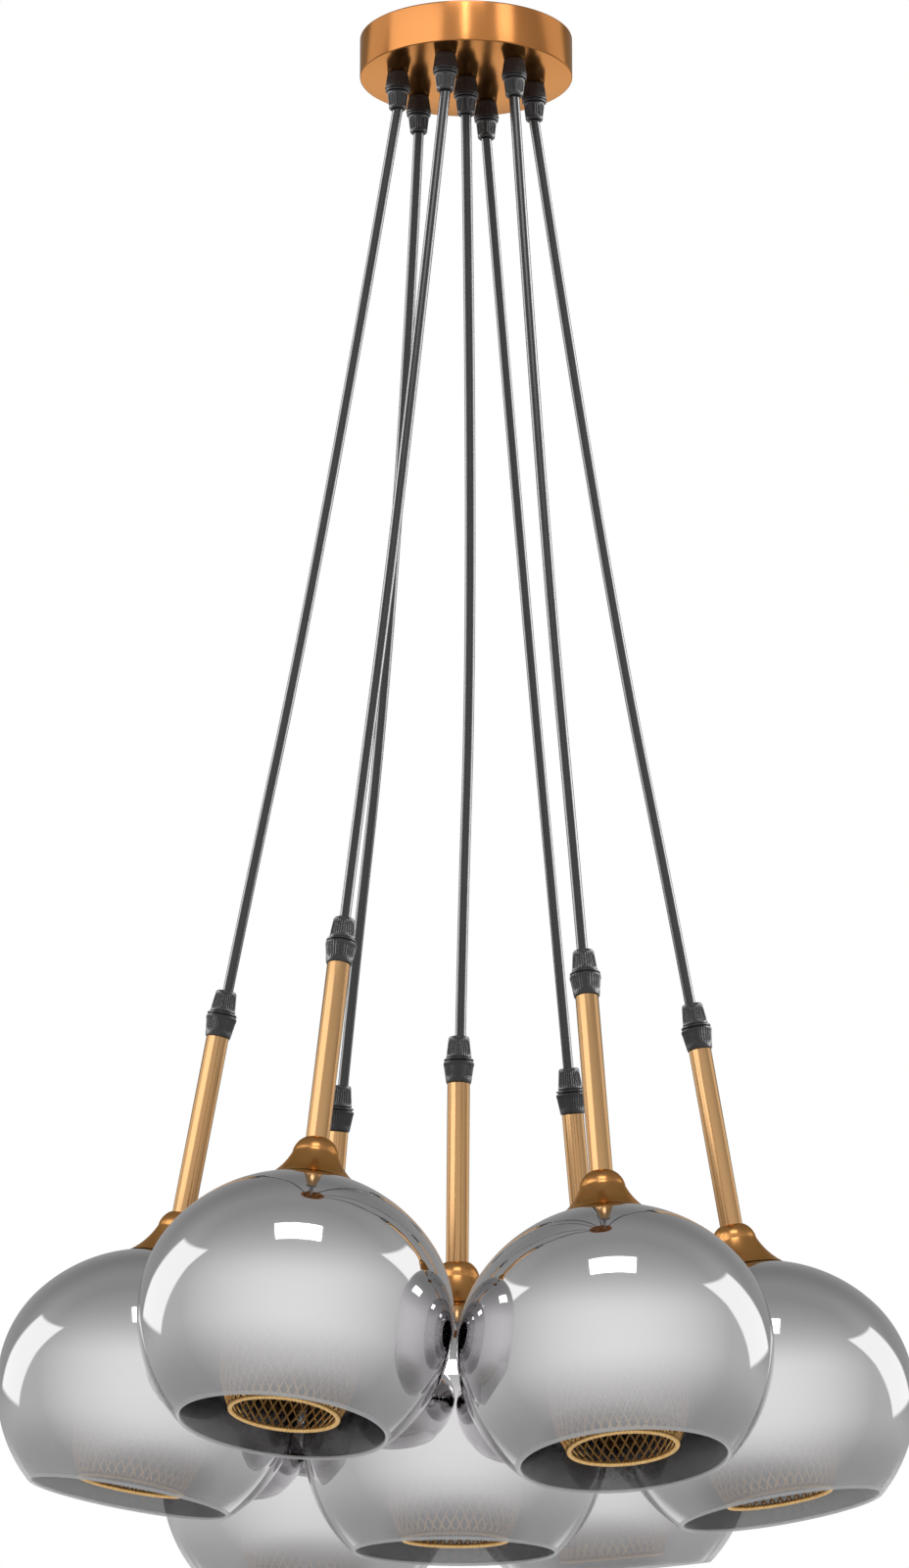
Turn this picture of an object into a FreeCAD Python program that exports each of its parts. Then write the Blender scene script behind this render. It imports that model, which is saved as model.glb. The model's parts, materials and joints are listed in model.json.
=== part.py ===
"""Cluster pendant: a round brass ceiling canopy with seven cords, each ending in a brass stem and
a smoked glass globe that holds a brass mesh basket.

Millimetres, +Z up. The origin is the middle of the canopy's top edge, in the plane of the ceiling.
Every length is a cell of the sheet, and every turned piece is a sketch whose corners are bound to it.
"""

import FreeCAD, Part
import math
import os

import Sketcher

Vector = FreeCAD.Vector
Rotation = FreeCAD.Rotation
Placement = FreeCAD.Placement
UP = Vector(0, 0, 1)

doc = FreeCAD.newDocument("cluster_pendant")
sheet = doc.addObject("Spreadsheet::Sheet", "Sizes")


# ---------------------------------------------------------------- sizes
class Size(float):
    """A number that also carries the sheet expression it was worked out with."""

    def __new__(cls, value, text):
        made = super().__new__(cls, value)
        made.text = text
        return made

    def __add__(self, other):
        return Size(float(self) + float(other), f"({self.text} + {words(other)})")

    def __radd__(self, other):
        return Size(float(other) + float(self), f"({words(other)} + {self.text})")

    def __sub__(self, other):
        return Size(float(self) - float(other), f"({self.text} - {words(other)})")

    def __rsub__(self, other):
        return Size(float(other) - float(self), f"({words(other)} - {self.text})")

    def __mul__(self, other):
        return Size(float(self) * float(other), f"({self.text} * {words(other)})")

    def __rmul__(self, other):
        return Size(float(other) * float(self), f"({words(other)} * {self.text})")

    def __truediv__(self, other):
        return Size(float(self) / float(other), f"({self.text} / {words(other)})")

    def __rtruediv__(self, other):
        return Size(float(other) / float(self), f"({words(other)} / {self.text})")


def words(number):
    """The text of a number in a sheet expression."""
    return number.text if isinstance(number, Size) else f"{float(number):.10g}"


def root(number):
    """Square root, as a Size."""
    return Size(math.sqrt(number), f"sqrt({words(number)})")


row = 0


def size(name, value):
    """Writes one driving dimension into the sheet under its own name, and gives it back."""
    global row
    row += 1
    sheet.set(f"A{row}", name.replace("_", " "))
    sheet.set(f"B{row}", str(value))
    sheet.setAlias(f"B{row}", name)
    return Size(value, f"Sizes.{name}")


# clearances
easy_gap = size("easy_gap", 0.3)
seat_gap = size("seat_gap", 0.1)
globe_gap = size("globe_gap", 0.6)

# cord and its grips
cord_radius = size("cord_radius", 3.25)
grip_bore_gap = size("grip_bore_gap", 0.35)
grip_mouth_radius = size("grip_mouth_radius", 6.2)
grip_cap_radius = size("grip_cap_radius", 7.6)
grip_cap_length = size("grip_cap_length", 13.6)
grip_flange_radius = size("grip_flange_radius", 9.2)
grip_flange_length = size("grip_flange_length", 2.4)
grip_nut_radius = size("grip_nut_radius", 8.7)
grip_foot_radius = size("grip_foot_radius", 7.4)
grip_nut_length = size("grip_nut_length", 12.4)
grip_flare = size("grip_flare", 1.0)
upper_grip_ratio = size("upper_grip_ratio", 0.85)
spigot_radius = size("spigot_radius", 5.2)
spigot_length = size("spigot_length", 8)

# canopy
canopy_radius = size("canopy_radius", 66.2)
canopy_height = size("canopy_height", 26)
canopy_wall = size("canopy_wall", 1.2)
canopy_floor = size("canopy_floor", 1.5)
canopy_edge = size("canopy_edge", 1.0)
grip_circle_radius = size("grip_circle_radius", 43.6)
grip_circle_turn = size("grip_circle_turn", 13)
locknut_radius = size("locknut_radius", 9)
locknut_height = size("locknut_height", 3.6)
tail_length = size("tail_length", 29)

# ceiling bracket, its side screws and the terminal block
bracket_width = size("bracket_width", 18)
bracket_sheet = size("bracket_sheet", 1.5)
bracket_tab = size("bracket_tab", 13)
ceiling_hole_spacing = size("ceiling_hole_spacing", 62)
ceiling_hole_radius = size("ceiling_hole_radius", 2.3)
side_screw_radius = size("side_screw_radius", 2)
side_screw_length = size("side_screw_length", 7)
side_screw_drop = size("side_screw_drop", 8)
block_length = size("block_length", 46)
block_width = size("block_width", 16)
block_height = size("block_height", 10)
block_poles = 6
block_hole_radius = size("block_hole_radius", 1.9)

# glass globe
globe_radius = size("globe_radius", 90)
globe_rim_radius = size("globe_rim_radius", 60.2)
globe_rim_depth = size("globe_rim_depth", 66)
globe_crown_rise = size("globe_crown_rise", 82)
globe_shoulder_radius = size("globe_shoulder_radius", 74)
globe_wall = size("globe_wall", 2.6)
globe_neck_radius = size("globe_neck_radius", 21)

# flared cap over the globe's neck
cap_radius = size("cap_radius", 27.5)
cap_height = size("cap_height", 27)
cap_top_radius = size("cap_top_radius", 8.2)
cap_waist_radius = size("cap_waist_radius", 13.4)
cap_waist_height = size("cap_waist_height", 18)
cap_flare_radius = size("cap_flare_radius", 45)
cap_shoulder_radius = size("cap_shoulder_radius", 12)
cap_wall = size("cap_wall", 1.1)

# stem
stem_radius = size("stem_radius", 6.75)
stem_bore_radius = size("stem_bore_radius", 5.6)
stem_length = size("stem_length", 124)

# lamp holder
holder_radius = size("holder_radius", 19.8)
holder_length = size("holder_length", 52)
holder_shoulder = size("holder_shoulder", 4)
holder_neck_radius = size("holder_neck_radius", 7.6)
holder_neck_length = size("holder_neck_length", 8)
holder_crown_gap = size("holder_crown_gap", 4)
socket_radius = size("socket_radius", 13.3)
socket_depth = size("socket_depth", 27)
clamp_ring_radius = size("clamp_ring_radius", 28)
clamp_ring_height = size("clamp_ring_height", 3.4)

# mesh basket
basket_collar_radius = size("basket_collar_radius", 25)
basket_collar_height = size("basket_collar_height", 1.6)
basket_belly_radius = size("basket_belly_radius", 39.5)
basket_belly_height = size("basket_belly_height", 42)
basket_ring_radius = size("basket_ring_radius", 30.6)
basket_ring_wire = size("basket_ring_wire", 1.5)
basket_ring_height = size("basket_ring_height", 8)
basket_lower_power = 3
basket_upper_power = 2.2
strip_count = 20
strip_bends = 6
strip_width = size("strip_width", 1.3)
strip_thickness = size("strip_thickness", 0.7)
strip_layer_gap = size("strip_layer_gap", 0.1)
strip_turn = size("strip_turn", 100)

# the seven pendants: number, bearing of the globe and length of cord from the canopy's grip to its own
cluster_shift = size("cluster_shift", -6)
cord_lengths = {
    1: (180, size("cord_length_left", 568)),
    2: (240, size("cord_length_front_left", 551)),
    3: (300, size("cord_length_front_right", 569)),
    4: (0, size("cord_length_right", 573)),
    5: (60, size("cord_length_back_right", 587)),
    6: (120, size("cord_length_back_left", 599)),
    7: (None, size("cord_length_middle", 586)),
}

# worked-out heights, from the globe's rim upwards
equator = globe_rim_depth
lower_arc = ((globe_radius - globe_rim_radius) * (globe_radius - globe_rim_radius) + equator * equator) / (
    2 * (globe_radius - globe_rim_radius)
)
shoulder_centre = globe_radius - globe_shoulder_radius
crown_arc = (
    shoulder_centre * shoulder_centre
    + globe_crown_rise * globe_crown_rise
    - globe_shoulder_radius * globe_shoulder_radius
) / (2 * (globe_crown_rise - globe_shoulder_radius))
crown_centre = equator + globe_crown_rise - crown_arc


def crown_height(arc, radius):
    """Height of the globe's crown at a distance from its axis, on the arc of this radius."""
    return crown_centre + root(arc * arc - radius * radius)


inner_crown = crown_arc - globe_wall
cap_base = crown_height(crown_arc, cap_radius - cap_wall) + seat_gap
clamp_top = crown_height(inner_crown, clamp_ring_radius) - seat_gap
collar_top = clamp_top - clamp_ring_height
holder_top = equator + globe_crown_rise - holder_crown_gap
holder_mouth = holder_top - holder_length
neck_base = holder_top + holder_shoulder
stem_base = neck_base + holder_neck_length
stem_top = stem_base + stem_length
grip_length = grip_cap_length + grip_flange_length + grip_nut_length
lower_exit = stem_top + grip_length
cord_foot = stem_base
upper_grip_length = grip_length * upper_grip_ratio
hinge_drop = canopy_height + upper_grip_length
grip_bore = cord_radius + grip_bore_gap


# ---------------------------------------------------------------- ways of making a piece
def body_plane(body, role):
    """One of a body's own origin planes."""
    return [feature for feature in body.Origin.OriginFeatures if feature.Role == role][0]


def new_sketch(body, role):
    """An empty sketch on one of the body's origin planes."""
    sketch = body.newObject("Sketcher::SketchObject", f"{body.Name}_sketch")
    sketch.AttachmentSupport = [(body_plane(body, role), "")]
    sketch.MapMode = "FlatFace"
    return sketch


def bind(sketch, kind, *where, value):
    """A dimension of a sketch, tied to the sheet where its value came from it."""
    index = sketch.addConstraint(Sketcher.Constraint(kind, *where, float(value)))
    if isinstance(value, Size):
        sketch.setExpression(f"Constraints[{index}]", value.text)


def arc_between(start, end, radius):
    """Part arc from start to end: a positive radius curves to the left of the way, a negative one to the right."""
    chord = end - start
    half = chord.Length / 2
    side = Vector(-chord.y, chord.x, 0) / chord.Length
    rise = math.sqrt(max(float(radius) ** 2 - half**2, 0))
    turn = 1 if radius > 0 else -1
    centre = (start + end) / 2 + side * rise * turn
    middle = centre - side * abs(float(radius)) * turn
    return Part.Arc(start, middle, end)


def draw_outline(sketch, outline):
    """Closes a chain of corners (across, up) into a sketch and dimensions each corner from the origin.

    A third value gives the radius of the arc that runs on from that corner.
    """
    corners = [Vector(float(corner[0]), float(corner[1]), 0) for corner in outline]
    count = len(outline)
    for i, corner in enumerate(outline):
        start, end = corners[i], corners[(i + 1) % count]
        edge = arc_between(start, end, corner[2]) if len(corner) > 2 else Part.LineSegment(start, end)
        sketch.addGeometry(edge, False)
    # an arc keeps its points in anticlockwise order, so the end that lies on each corner is looked up
    first = [1 if (sketch.getPoint(i, 1) - corners[i]).Length < 1e-6 else 2 for i in range(count)]
    for i in range(count):
        after = (i + 1) % count
        sketch.addConstraint(Sketcher.Constraint("Coincident", i, 3 - first[i], after, first[after]))
    for i, (corner, point) in enumerate(zip(outline, corners)):
        for kind, value, place, axis in (("DistanceX", corner[0], point.x, -2), ("DistanceY", corner[1], point.y, -1)):
            if abs(place) < 1e-9:
                sketch.addConstraint(Sketcher.Constraint("PointOnObject", i, first[i], axis))
            else:
                bind(sketch, kind, -1, 1, i, first[i], value=value)
        if len(corner) > 2:
            radius = corner[2] if corner[2] > 0 else 0 - corner[2]
            bind(sketch, "Radius", i, value=radius)


def turned(label, outline):
    """A body turned from a closed outline of (radius, height) corners about its upright axis."""
    body = doc.addObject("PartDesign::Body", label)
    body.Label = label
    sketch = new_sketch(body, "XZ_Plane")
    draw_outline(sketch, outline)
    turn = body.newObject("PartDesign::Revolution", f"{label}_turn")
    turn.Profile = sketch
    turn.ReferenceAxis = (sketch, ["V_Axis"])
    turn.Angle = 360
    return body


def cut_through(body, role, draw, midplane=False, count=1):
    """A pocket right through the body, drawn by draw(sketch), and repeated round the upright axis."""
    sketch = new_sketch(body, role)
    draw(sketch)
    pocket = body.newObject("PartDesign::Pocket", f"{body.Name}_cut")
    pocket.Profile = sketch
    pocket.Type = 1
    pocket.Midplane = midplane
    pocket.Reversed = not midplane
    if count > 1:
        pattern = body.newObject("PartDesign::PolarPattern", f"{body.Name}_ring")
        pattern.Originals = [pocket]
        pattern.Axis = (body_plane(body, "Z_Axis"), [""])
        pattern.Angle = 360
        pattern.Occurrences = count
        body.Tip = pattern


def draw_circle(sketch, across, up, radius):
    """A circle dimensioned from the sketch's origin."""
    centre = Vector(float(across), float(up), 0)
    index = sketch.addGeometry(Part.Circle(centre, Vector(0, 0, 1), float(radius)), False)
    bind(sketch, "Radius", index, value=radius)
    for kind, value, axis in (("DistanceX", across, -2), ("DistanceY", up, -1)):
        if abs(float(value)) < 1e-9:
            sketch.addConstraint(Sketcher.Constraint("PointOnObject", index, 3, axis))
        else:
            bind(sketch, kind, -1, 1, index, 3, value=value)


def at(x, y, z):
    """A move without a turn."""
    return Placement(Vector(float(x), float(y), float(z)), Rotation())


nodes = []


def keep(piece, label, placement=Placement()):
    """Names a piece, puts it in its place and lists it as a sub-part."""
    piece.Label = label
    piece.Placement = placement
    nodes.append(piece)


def group(label, sources, placement=Placement()):
    """One sub-part of several separate solids: each source is (object, its placement within the sub-part)."""
    doc.recompute()
    solids = []
    for source, place in sources:
        solid = source.Shape.copy()
        solid.Placement = place.multiply(source.Placement)
        solids += solid.Solids
    piece = doc.addObject("Part::Feature", label)
    piece.Shape = Part.makeCompound(solids)
    keep(piece, label, placement)


# ---------------------------------------------------------------- canopy
def bearing(radius, degrees, height=0):
    """A point at a distance from the upright axis, at an angle from +X towards +Y."""
    angle = math.radians(degrees)
    return Vector(float(radius) * math.cos(angle), float(radius) * math.sin(angle), float(height))


def grip_places():
    """Where the seven grips stand on the canopy's floor: six on a circle and one in the middle."""
    ring = [bearing(grip_circle_radius, float(grip_circle_turn) + 60 * i) for i in range(6)]
    return ring + [Vector()]


def canopy_shell():
    """Drawn brass dish, open at the top, with seven holes for the grips and two side screw holes."""
    inner = canopy_radius - canopy_wall
    body = turned(
        "canopy_shell",
        [
            (0, 0),
            (canopy_radius - canopy_edge, 0, canopy_edge),
            (canopy_radius, canopy_edge),
            (canopy_radius, canopy_height),
            (inner, canopy_height),
            (inner, canopy_floor),
            (0, canopy_floor),
        ],
    )
    angle = f"{grip_circle_turn.text} * 1deg"
    across = Size(grip_places()[0].x, f"({grip_circle_radius.text} * cos({angle}))")
    along = Size(grip_places()[0].y, f"({grip_circle_radius.text} * sin({angle}))")
    hole = spigot_radius + seat_gap
    cut_through(body, "XY_Plane", lambda sketch: draw_circle(sketch, across, along, hole), count=6)
    cut_through(body, "XY_Plane", lambda sketch: draw_circle(sketch, 0, 0, hole))
    screw_height = canopy_height - side_screw_drop
    screw_hole = side_screw_radius + seat_gap
    cut_through(body, "YZ_Plane", lambda sketch: draw_circle(sketch, 0, screw_height, screw_hole), midplane=True)
    keep(body, "canopy_shell", at(0, 0, -canopy_height))


def ceiling_bracket():
    """Bent steel strap under the ceiling, with two holes for the ceiling screws and a threaded tab at each end."""
    inside = canopy_radius - canopy_wall - easy_gap
    reach = root(inside * inside - bracket_width * bracket_width / 4)
    body = doc.addObject("PartDesign::Body", "ceiling_bracket")
    sketch = new_sketch(body, "XZ_Plane")
    outline = [
        (reach, bracket_tab, None),
        (0 - reach, bracket_tab, None),
        (0 - reach, 0, None),
        (bracket_sheet - reach, 0, None),
        (bracket_sheet - reach, bracket_tab - bracket_sheet, None),
        (reach - bracket_sheet, bracket_tab - bracket_sheet, None),
        (reach - bracket_sheet, 0, None),
        (reach, 0, None),
    ]
    draw_outline(sketch, [corner[:2] for corner in outline])
    pad = body.newObject("PartDesign::Pad", "ceiling_bracket_pad")
    pad.Profile = sketch
    pad.Midplane = True
    pad.setExpression("Length", bracket_width.text)

    def holes(sketch):
        draw_circle(sketch, ceiling_hole_spacing / 2, 0, ceiling_hole_radius)
        draw_circle(sketch, 0 - ceiling_hole_spacing / 2, 0, ceiling_hole_radius)

    cut_through(body, "XY_Plane", holes)
    height = bracket_tab - side_screw_drop
    thread = side_screw_radius + seat_gap
    cut_through(body, "YZ_Plane", lambda sketch: draw_circle(sketch, 0, height, thread), midplane=True)
    keep(body, "ceiling_bracket", at(0, 0, -bracket_tab))


def draw_rectangle(sketch, left, right, low, high):
    """A rectangle dimensioned from the sketch's origin."""
    corners = [(left, low), (right, low), (right, high), (left, high)]
    points = [Vector(float(x), float(y), 0) for x, y in corners]
    for i in range(4):
        sketch.addGeometry(Part.LineSegment(points[i], points[(i + 1) % 4]), False)
    for i, (x, y) in enumerate(corners):
        sketch.addConstraint(Sketcher.Constraint("Coincident", i, 2, (i + 1) % 4, 1))
        bind(sketch, "DistanceX", -1, 1, i, 1, value=x)
        bind(sketch, "DistanceY", -1, 1, i, 1, value=y)


def bracket_screws():
    """Two headless screws through the canopy's wall into the bracket's tabs, flush outside."""
    screw = turned("bracket_screw", [(0, 0), (side_screw_radius, 0), (side_screw_radius, side_screw_length), (0, side_screw_length)])
    start = canopy_radius - side_screw_length
    right = Placement(Vector(float(start), 0, 0), Rotation(Vector(0, 1, 0), 90))
    left = Placement(Vector(-float(start), 0, 0), Rotation(Vector(0, 1, 0), -90))
    group("bracket_screws", [(screw, right), (screw, left)], at(0, 0, -side_screw_drop))


def terminal_block():
    """Moulded block of screw terminals under the strap, where the seven cords join the supply."""
    body = doc.addObject("PartDesign::Body", "terminal_block")
    sketch = new_sketch(body, "XY_Plane")
    draw_rectangle(sketch, 0 - block_length / 2, block_length / 2, 0 - block_width / 2, block_width / 2)
    pad = body.newObject("PartDesign::Pad", "terminal_block_pad")
    pad.Profile = sketch
    pad.setExpression("Length", block_height.text)

    def holes(sketch):
        pitch = block_length / block_poles
        for pole in range(block_poles):
            draw_circle(sketch, pitch * (pole + 0.5) - block_length / 2, block_width / 4, block_hole_radius)
            draw_circle(sketch, pitch * (pole + 0.5) - block_length / 2, 0 - block_width / 4, block_hole_radius)

    cut_through(body, "XY_Plane", holes)
    keep(body, "terminal_block", at(0, 0, -bracket_sheet - block_height))


# ---------------------------------------------------------------- cord grips
def grip_cap(label, ratio):
    """Tapered clamping cap, its mouth at height 0 and flared where the cord comes out."""
    length = grip_cap_length * ratio
    return turned(
        label,
        [
            (grip_bore + grip_flare, 0),
            (grip_mouth_radius * ratio, 0),
            (grip_cap_radius * ratio, length),
            (grip_bore, length),
            (grip_bore, grip_flare * 1.5),
        ],
    )


def grip_body(label, ratio, spigot):
    """Collar, tapered nut and threaded spigot, standing on the cap."""
    foot = grip_cap_length * ratio
    flange = foot + grip_flange_length * ratio
    end = flange + grip_nut_length * ratio
    return turned(
        label,
        [
            (grip_bore, foot),
            (grip_flange_radius * ratio, foot),
            (grip_flange_radius * ratio, flange),
            (grip_nut_radius * ratio, flange),
            (grip_foot_radius * ratio, end),
            (spigot_radius, end),
            (spigot_radius, end + spigot),
            (grip_bore, end + spigot),
        ],
    )


def canopy_grips():
    """Seven grips under the canopy, their locknuts inside it, and the fixed cord ends that they hold."""
    inside = canopy_floor + locknut_height + easy_gap
    cap = grip_cap("canopy_grip_cap", upper_grip_ratio)
    body = grip_body("canopy_grip_body", upper_grip_ratio, inside)
    places = [at(place.x, place.y, -hinge_drop) for place in grip_places()]
    group("canopy_grip_caps", [(cap, place) for place in places])
    group("canopy_grip_bodies", [(body, place) for place in places])

    prism = doc.addObject("Part::Prism", "locknut_blank")
    prism.Polygon = 6
    prism.setExpression("Circumradius", locknut_radius.text)
    prism.setExpression("Height", locknut_height.text)
    bore = doc.addObject("Part::Cylinder", "locknut_bore")
    bore.setExpression("Radius", (spigot_radius + seat_gap).text)
    bore.setExpression("Height", locknut_height.text)
    nut = doc.addObject("Part::Cut", "locknut")
    nut.Base = prism
    nut.Tool = bore
    seat = canopy_floor - canopy_height
    group("canopy_locknuts", [(nut, at(place.x, place.y, seat)) for place in grip_places()])

    start = cord_radius + easy_gap
    tail = turned(
        "cord_tail",
        [(0, start), (cord_radius, start), (cord_radius, start + tail_length), (0, start + tail_length)],
    )
    group("cord_tails", [(tail, place) for place in places])


# ---------------------------------------------------------------- one pendant, from the globe's rim upwards
def glass_globe(label):
    """Blown globe in three arcs, open below with a rounded rim and above with a neck hole."""
    wall = globe_wall
    lower_centre = globe_radius - lower_arc
    rim_across = (globe_rim_radius - lower_centre) / lower_arc
    rim_down = equator / lower_arc
    lean_across = shoulder_centre / (crown_arc - globe_shoulder_radius)
    lean_up = (crown_arc - globe_crown_rise) / (crown_arc - globe_shoulder_radius)
    inner_shoulder = globe_shoulder_radius - wall
    inner_lower = lower_arc - wall
    return turned(
        label,
        [
            (globe_rim_radius, 0, lower_arc),
            (globe_radius, equator, globe_shoulder_radius),
            (
                shoulder_centre + globe_shoulder_radius * lean_across,
                equator + globe_shoulder_radius * lean_up,
                crown_arc,
            ),
            (globe_neck_radius, crown_height(crown_arc, globe_neck_radius), wall * 1.5),
            (globe_neck_radius, crown_height(inner_crown, globe_neck_radius), 0 - inner_crown),
            (shoulder_centre + inner_shoulder * lean_across, equator + inner_shoulder * lean_up, 0 - inner_shoulder),
            (globe_radius - wall, equator, 0 - inner_lower),
            (lower_centre + inner_lower * rim_across, equator - inner_lower * rim_down, wall * 0.501),
        ],
    )


def flared_cap(label):
    """Spun brass cap like a trumpet's bell, standing on the glass round its neck."""
    top = cap_base + cap_height
    waist = cap_base + cap_waist_height
    hole = stem_radius + easy_gap
    return turned(
        label,
        [
            (cap_radius, cap_base, 0 - cap_flare_radius),
            (cap_waist_radius, waist, cap_shoulder_radius),
            (cap_top_radius, top),
            (hole, top),
            (hole, top - cap_wall, 0 - cap_shoulder_radius),
            (cap_waist_radius - cap_wall, waist, cap_flare_radius + cap_wall),
            (cap_radius - cap_wall, cap_base),
        ],
    )


def stem(label):
    """Brass tube from the lamp holder's neck up to the cord grip."""
    return turned(
        label,
        [
            (stem_bore_radius, stem_base),
            (stem_radius, stem_base),
            (stem_radius, stem_top),
            (stem_bore_radius, stem_top),
        ],
    )


def lamp_holder(label, placement):
    """Lamp holder hung through the neck hole, with the ring that clamps glass and basket from below."""
    socket_end = holder_mouth + socket_depth
    nipple = spigot_radius
    holder = turned(
        f"{label}_shell",
        [
            (socket_radius, holder_mouth),
            (holder_radius, holder_mouth),
            (holder_radius, holder_top),
            (holder_neck_radius, neck_base),
            (holder_neck_radius, stem_base),
            (nipple, stem_base),
            (nipple, stem_base + holder_neck_length),
            (grip_bore, stem_base + holder_neck_length),
            (grip_bore, socket_end),
            (socket_radius, socket_end),
        ],
    )
    inner = holder_radius + seat_gap
    ring = turned(
        f"{label}_ring",
        [
            (inner, clamp_top - clamp_ring_height),
            (clamp_ring_radius, clamp_top - clamp_ring_height),
            (clamp_ring_radius, clamp_top),
            (inner, clamp_top),
        ],
    )
    group(label, [(holder, Placement()), (ring, Placement())], placement)


def cord(label, length):
    """Round cord from the stem's foot up to the canopy's grip, its top rounded about the point it swings from."""
    top = lower_exit + length
    return turned(
        label,
        [(0, cord_foot), (cord_radius, cord_foot), (cord_radius, top, cord_radius), (0, top + cord_radius)],
    )


def lower_grip(label, placement):
    """The pendant's own grip, upside down on the stem with its spigot in the tube."""
    cap = grip_cap(f"{label}_cap", Size(1, "1"))
    body = grip_body(f"{label}_body", Size(1, "1"), spigot_length)
    flip = Placement(Vector(0, 0, float(lower_exit)), Rotation(Vector(1, 0, 0), 180))
    group(label, [(cap, flip), (body, flip)], placement)


# ---------------------------------------------------------------- mesh basket
basket_top = collar_top - basket_collar_height
belly = basket_ring_height + basket_belly_height


def basket_radius(height):
    """The basket's radius at a height: a power curve from ring to belly, and a gentler one from belly to collar."""
    if height < belly:
        share = (belly - height) / basket_belly_height
        return basket_belly_radius - (basket_belly_radius - basket_ring_radius) * share**basket_lower_power
    share = (height - belly) / (basket_top - belly)
    return basket_belly_radius - (basket_belly_radius - basket_collar_radius) * share**basket_upper_power


def strip(hand, start, offset):
    """One flat strip wound up the basket's surface, as a closed solid of flat facets.

    hand is +1 or -1 for the way it winds, start its bearing at the ring, offset its distance off the surface.
    """
    low = float(basket_ring_height)
    high = float(basket_top) + float(basket_collar_height) / 2
    rows = []
    for bend in range(strip_bends + 1):
        share = bend / strip_bends
        height = low + (high - low) * share * (0.6 + 0.4 * share)
        reach = basket_radius(min(height, float(basket_top)))
        slope = (basket_radius(min(height + 1, float(basket_top))) - basket_radius(max(height - 1, low))) / 2
        angle = math.radians(start + hand * float(strip_turn) * share)
        outward = Vector(math.cos(angle), math.sin(angle), 0)
        normal = (outward - UP * slope).normalize()
        around = UP.cross(outward)
        climb = (UP + outward * slope).normalize()
        way = (climb + around * hand * math.tan(math.radians(27))).normalize()
        side = way.cross(normal).normalize() * float(strip_width) / 2
        middle = outward * reach + UP * height + normal * offset
        skin = normal * float(strip_thickness) / 2
        rows.append([middle + side + skin, middle - side + skin, middle - side - skin, middle + side - skin])
    triangles = [(rows[0][0], rows[0][1], rows[0][2]), (rows[0][0], rows[0][2], rows[0][3])]
    triangles += [(rows[-1][0], rows[-1][2], rows[-1][1]), (rows[-1][0], rows[-1][3], rows[-1][2])]
    for lower, upper in zip(rows, rows[1:]):
        for i in range(4):
            k = (i + 1) % 4
            triangles += [(lower[i], upper[i], upper[k]), (lower[i], upper[k], lower[k])]
    faces = [Part.Face(Part.makePolygon([*corners, corners[0]])) for corners in triangles]
    solid = Part.makeSolid(Part.makeShell(faces))
    if solid.Volume < 0:
        solid.reverse()
    return solid


def mesh_basket_shape():
    """Two layers of strips that cross without touching, welded into a wire ring below and a collar above.

    The collar's hole widens upwards by a strip's thickness, as a pressed edge does.
    """
    ring = Part.makeTorus(float(basket_ring_radius), float(basket_ring_wire), Vector(0, 0, float(basket_ring_height)))
    collar = Part.makeCylinder(float(basket_collar_radius + strip_thickness), float(basket_collar_height))
    collar.translate(UP * float(basket_top))
    mouth = float(holder_radius + easy_gap)
    hole = Part.makeCone(mouth, mouth + float(strip_thickness), float(basket_collar_height))
    hole.translate(UP * float(basket_top))
    layer = float(strip_thickness + strip_layer_gap) / 2
    pitch = 360 / strip_count
    strips = [strip(hand, pitch * i, hand * layer) for hand in (1, -1) for i in range(strip_count)]
    return collar.cut(hole).multiFuse([ring] + strips)


# ---------------------------------------------------------------- the assembly
canopy_shell()
ceiling_bracket()
bracket_screws()
terminal_block()
canopy_grips()
basket_shape = mesh_basket_shape()

globe_height = float(equator)
for number, (direction, length) in cord_lengths.items():
    hinge = grip_places()[6 if direction is None else (direction // 60)] - UP * float(hinge_drop)
    if direction is None:
        globe = Vector(float(cluster_shift), 0, 0)
    else:
        globe = bearing(2 * globe_radius + globe_gap, direction) + Vector(float(cluster_shift), 0, 0)
    reach = float(lower_exit + length) - globe_height
    aside = globe - Vector(hinge.x, hinge.y, 0)
    down = Vector(aside.x / reach, aside.y / reach, 0)
    down.z = -math.sqrt(1 - down.x**2 - down.y**2)
    foot = hinge + down * float(lower_exit + length)
    place = Placement(foot, Rotation(UP, down * -1))
    keep(glass_globe(f"glass_globe_{number}"), f"glass_globe_{number}", place)
    keep(flared_cap(f"flared_cap_{number}"), f"flared_cap_{number}", place)
    keep(stem(f"stem_{number}"), f"stem_{number}", place)
    keep(cord(f"cord_{number}", length), f"cord_{number}", place)
    lower_grip(f"cord_grip_{number}", place)
    lamp_holder(f"lamp_holder_{number}", place)
    basket = doc.addObject("Part::Feature", f"mesh_basket_{number}")
    basket.Shape = basket_shape
    keep(basket, f"mesh_basket_{number}", place)
    print(
        f"pendant {number}: hinge {tuple(round(v, 2) for v in hinge)} down {tuple(round(v, 5) for v in down)}",
        f"rim {tuple(round(v, 2) for v in foot)} cord {float(length):.0f}",
    )

doc.recompute()
for made in doc.Objects:
    for word in ("Invalid", "Error"):
        if word in made.State:
            raise RuntimeError(f"{made.Label} is {word}")
os.makedirs("parts", exist_ok=True)
for piece in nodes:
    if piece.Shape.isNull() or not piece.Shape.isValid() or not piece.Shape.Solids:
        raise RuntimeError(f"{piece.Label} has no valid solid")
for piece in nodes:
    piece.Shape.exportStep(f"parts/{piece.Label}.step")
print(f"{len(nodes)} sub-parts written")
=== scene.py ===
import json
import math

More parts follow.
